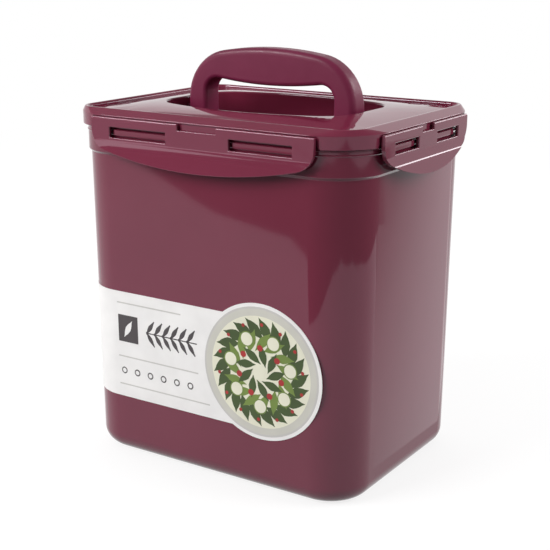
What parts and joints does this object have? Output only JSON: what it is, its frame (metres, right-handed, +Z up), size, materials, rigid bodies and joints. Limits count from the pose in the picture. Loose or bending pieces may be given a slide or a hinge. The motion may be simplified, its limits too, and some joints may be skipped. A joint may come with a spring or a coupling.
{
  "type": "food keeper",
  "caption": "Tall tapered food keeper with a sealing lid held by a latch flap on every side, a folding carry handle set in the lid and a wrap-round paper label.",
  "frame": {"origin": "middle of the footprint, on the surface that the keeper stands on", "axes": "+Z up, +X to the right of the long front face, -Y out of that front face"},
  "size_m": [0.2122, 0.1642, 0.2467],
  "materials": {
    "tub_plastic": "glossy wine-coloured polypropylene",
    "lid_plastic": "glossy wine-coloured polypropylene",
    "handle_plastic": "satin wine-coloured polypropylene",
    "silicone": "translucent grey silicone",
    "label_paper": null
  },
  "bodies": {
    "tub": {"body": "tub_plastic", "label": "label_paper"},
    "lid": {"lid": "lid_plastic", "seal": "silicone"},
    "handle": {"handle": "handle_plastic"},
    "front_flap": {"front_flap": "lid_plastic"},
    "rear_flap": {"rear_flap": "lid_plastic"},
    "left_flap": {"left_flap": "lid_plastic"},
    "right_flap": {"right_flap": "lid_plastic"}
  },
  "joints": [
    {"name": "lid_lift", "type": "slide", "parent": "tub", "child": "lid", "axis": [0, 0, 1], "range_m": [0, 0.05]},
    {"name": "handle_fold", "type": "hinge", "parent": "lid", "child": "handle", "pos_m": [0, 0, 0.207], "axis": [1, 0, 0], "range_deg": [-90, 90]},
    {"name": "front_flap_hinge", "type": "hinge", "parent": "lid", "child": "front_flap", "pos_m": [0, -0.0768, 0.209], "axis": [-1, 0, 0], "range_deg": [0, 135]},
    {"name": "rear_flap_hinge", "type": "hinge", "parent": "lid", "child": "rear_flap", "pos_m": [0, 0.0768, 0.209], "axis": [1, 0, 0], "range_deg": [0, 135]},
    {"name": "right_flap_hinge", "type": "hinge", "parent": "lid", "child": "right_flap", "pos_m": [0.1008, 0, 0.209], "axis": [0, -1, 0], "range_deg": [0, 135]},
    {"name": "left_flap_hinge", "type": "hinge", "parent": "lid", "child": "left_flap", "pos_m": [-0.1008, 0, 0.209], "axis": [0, 1, 0], "range_deg": [0, 135]}
  ]
}
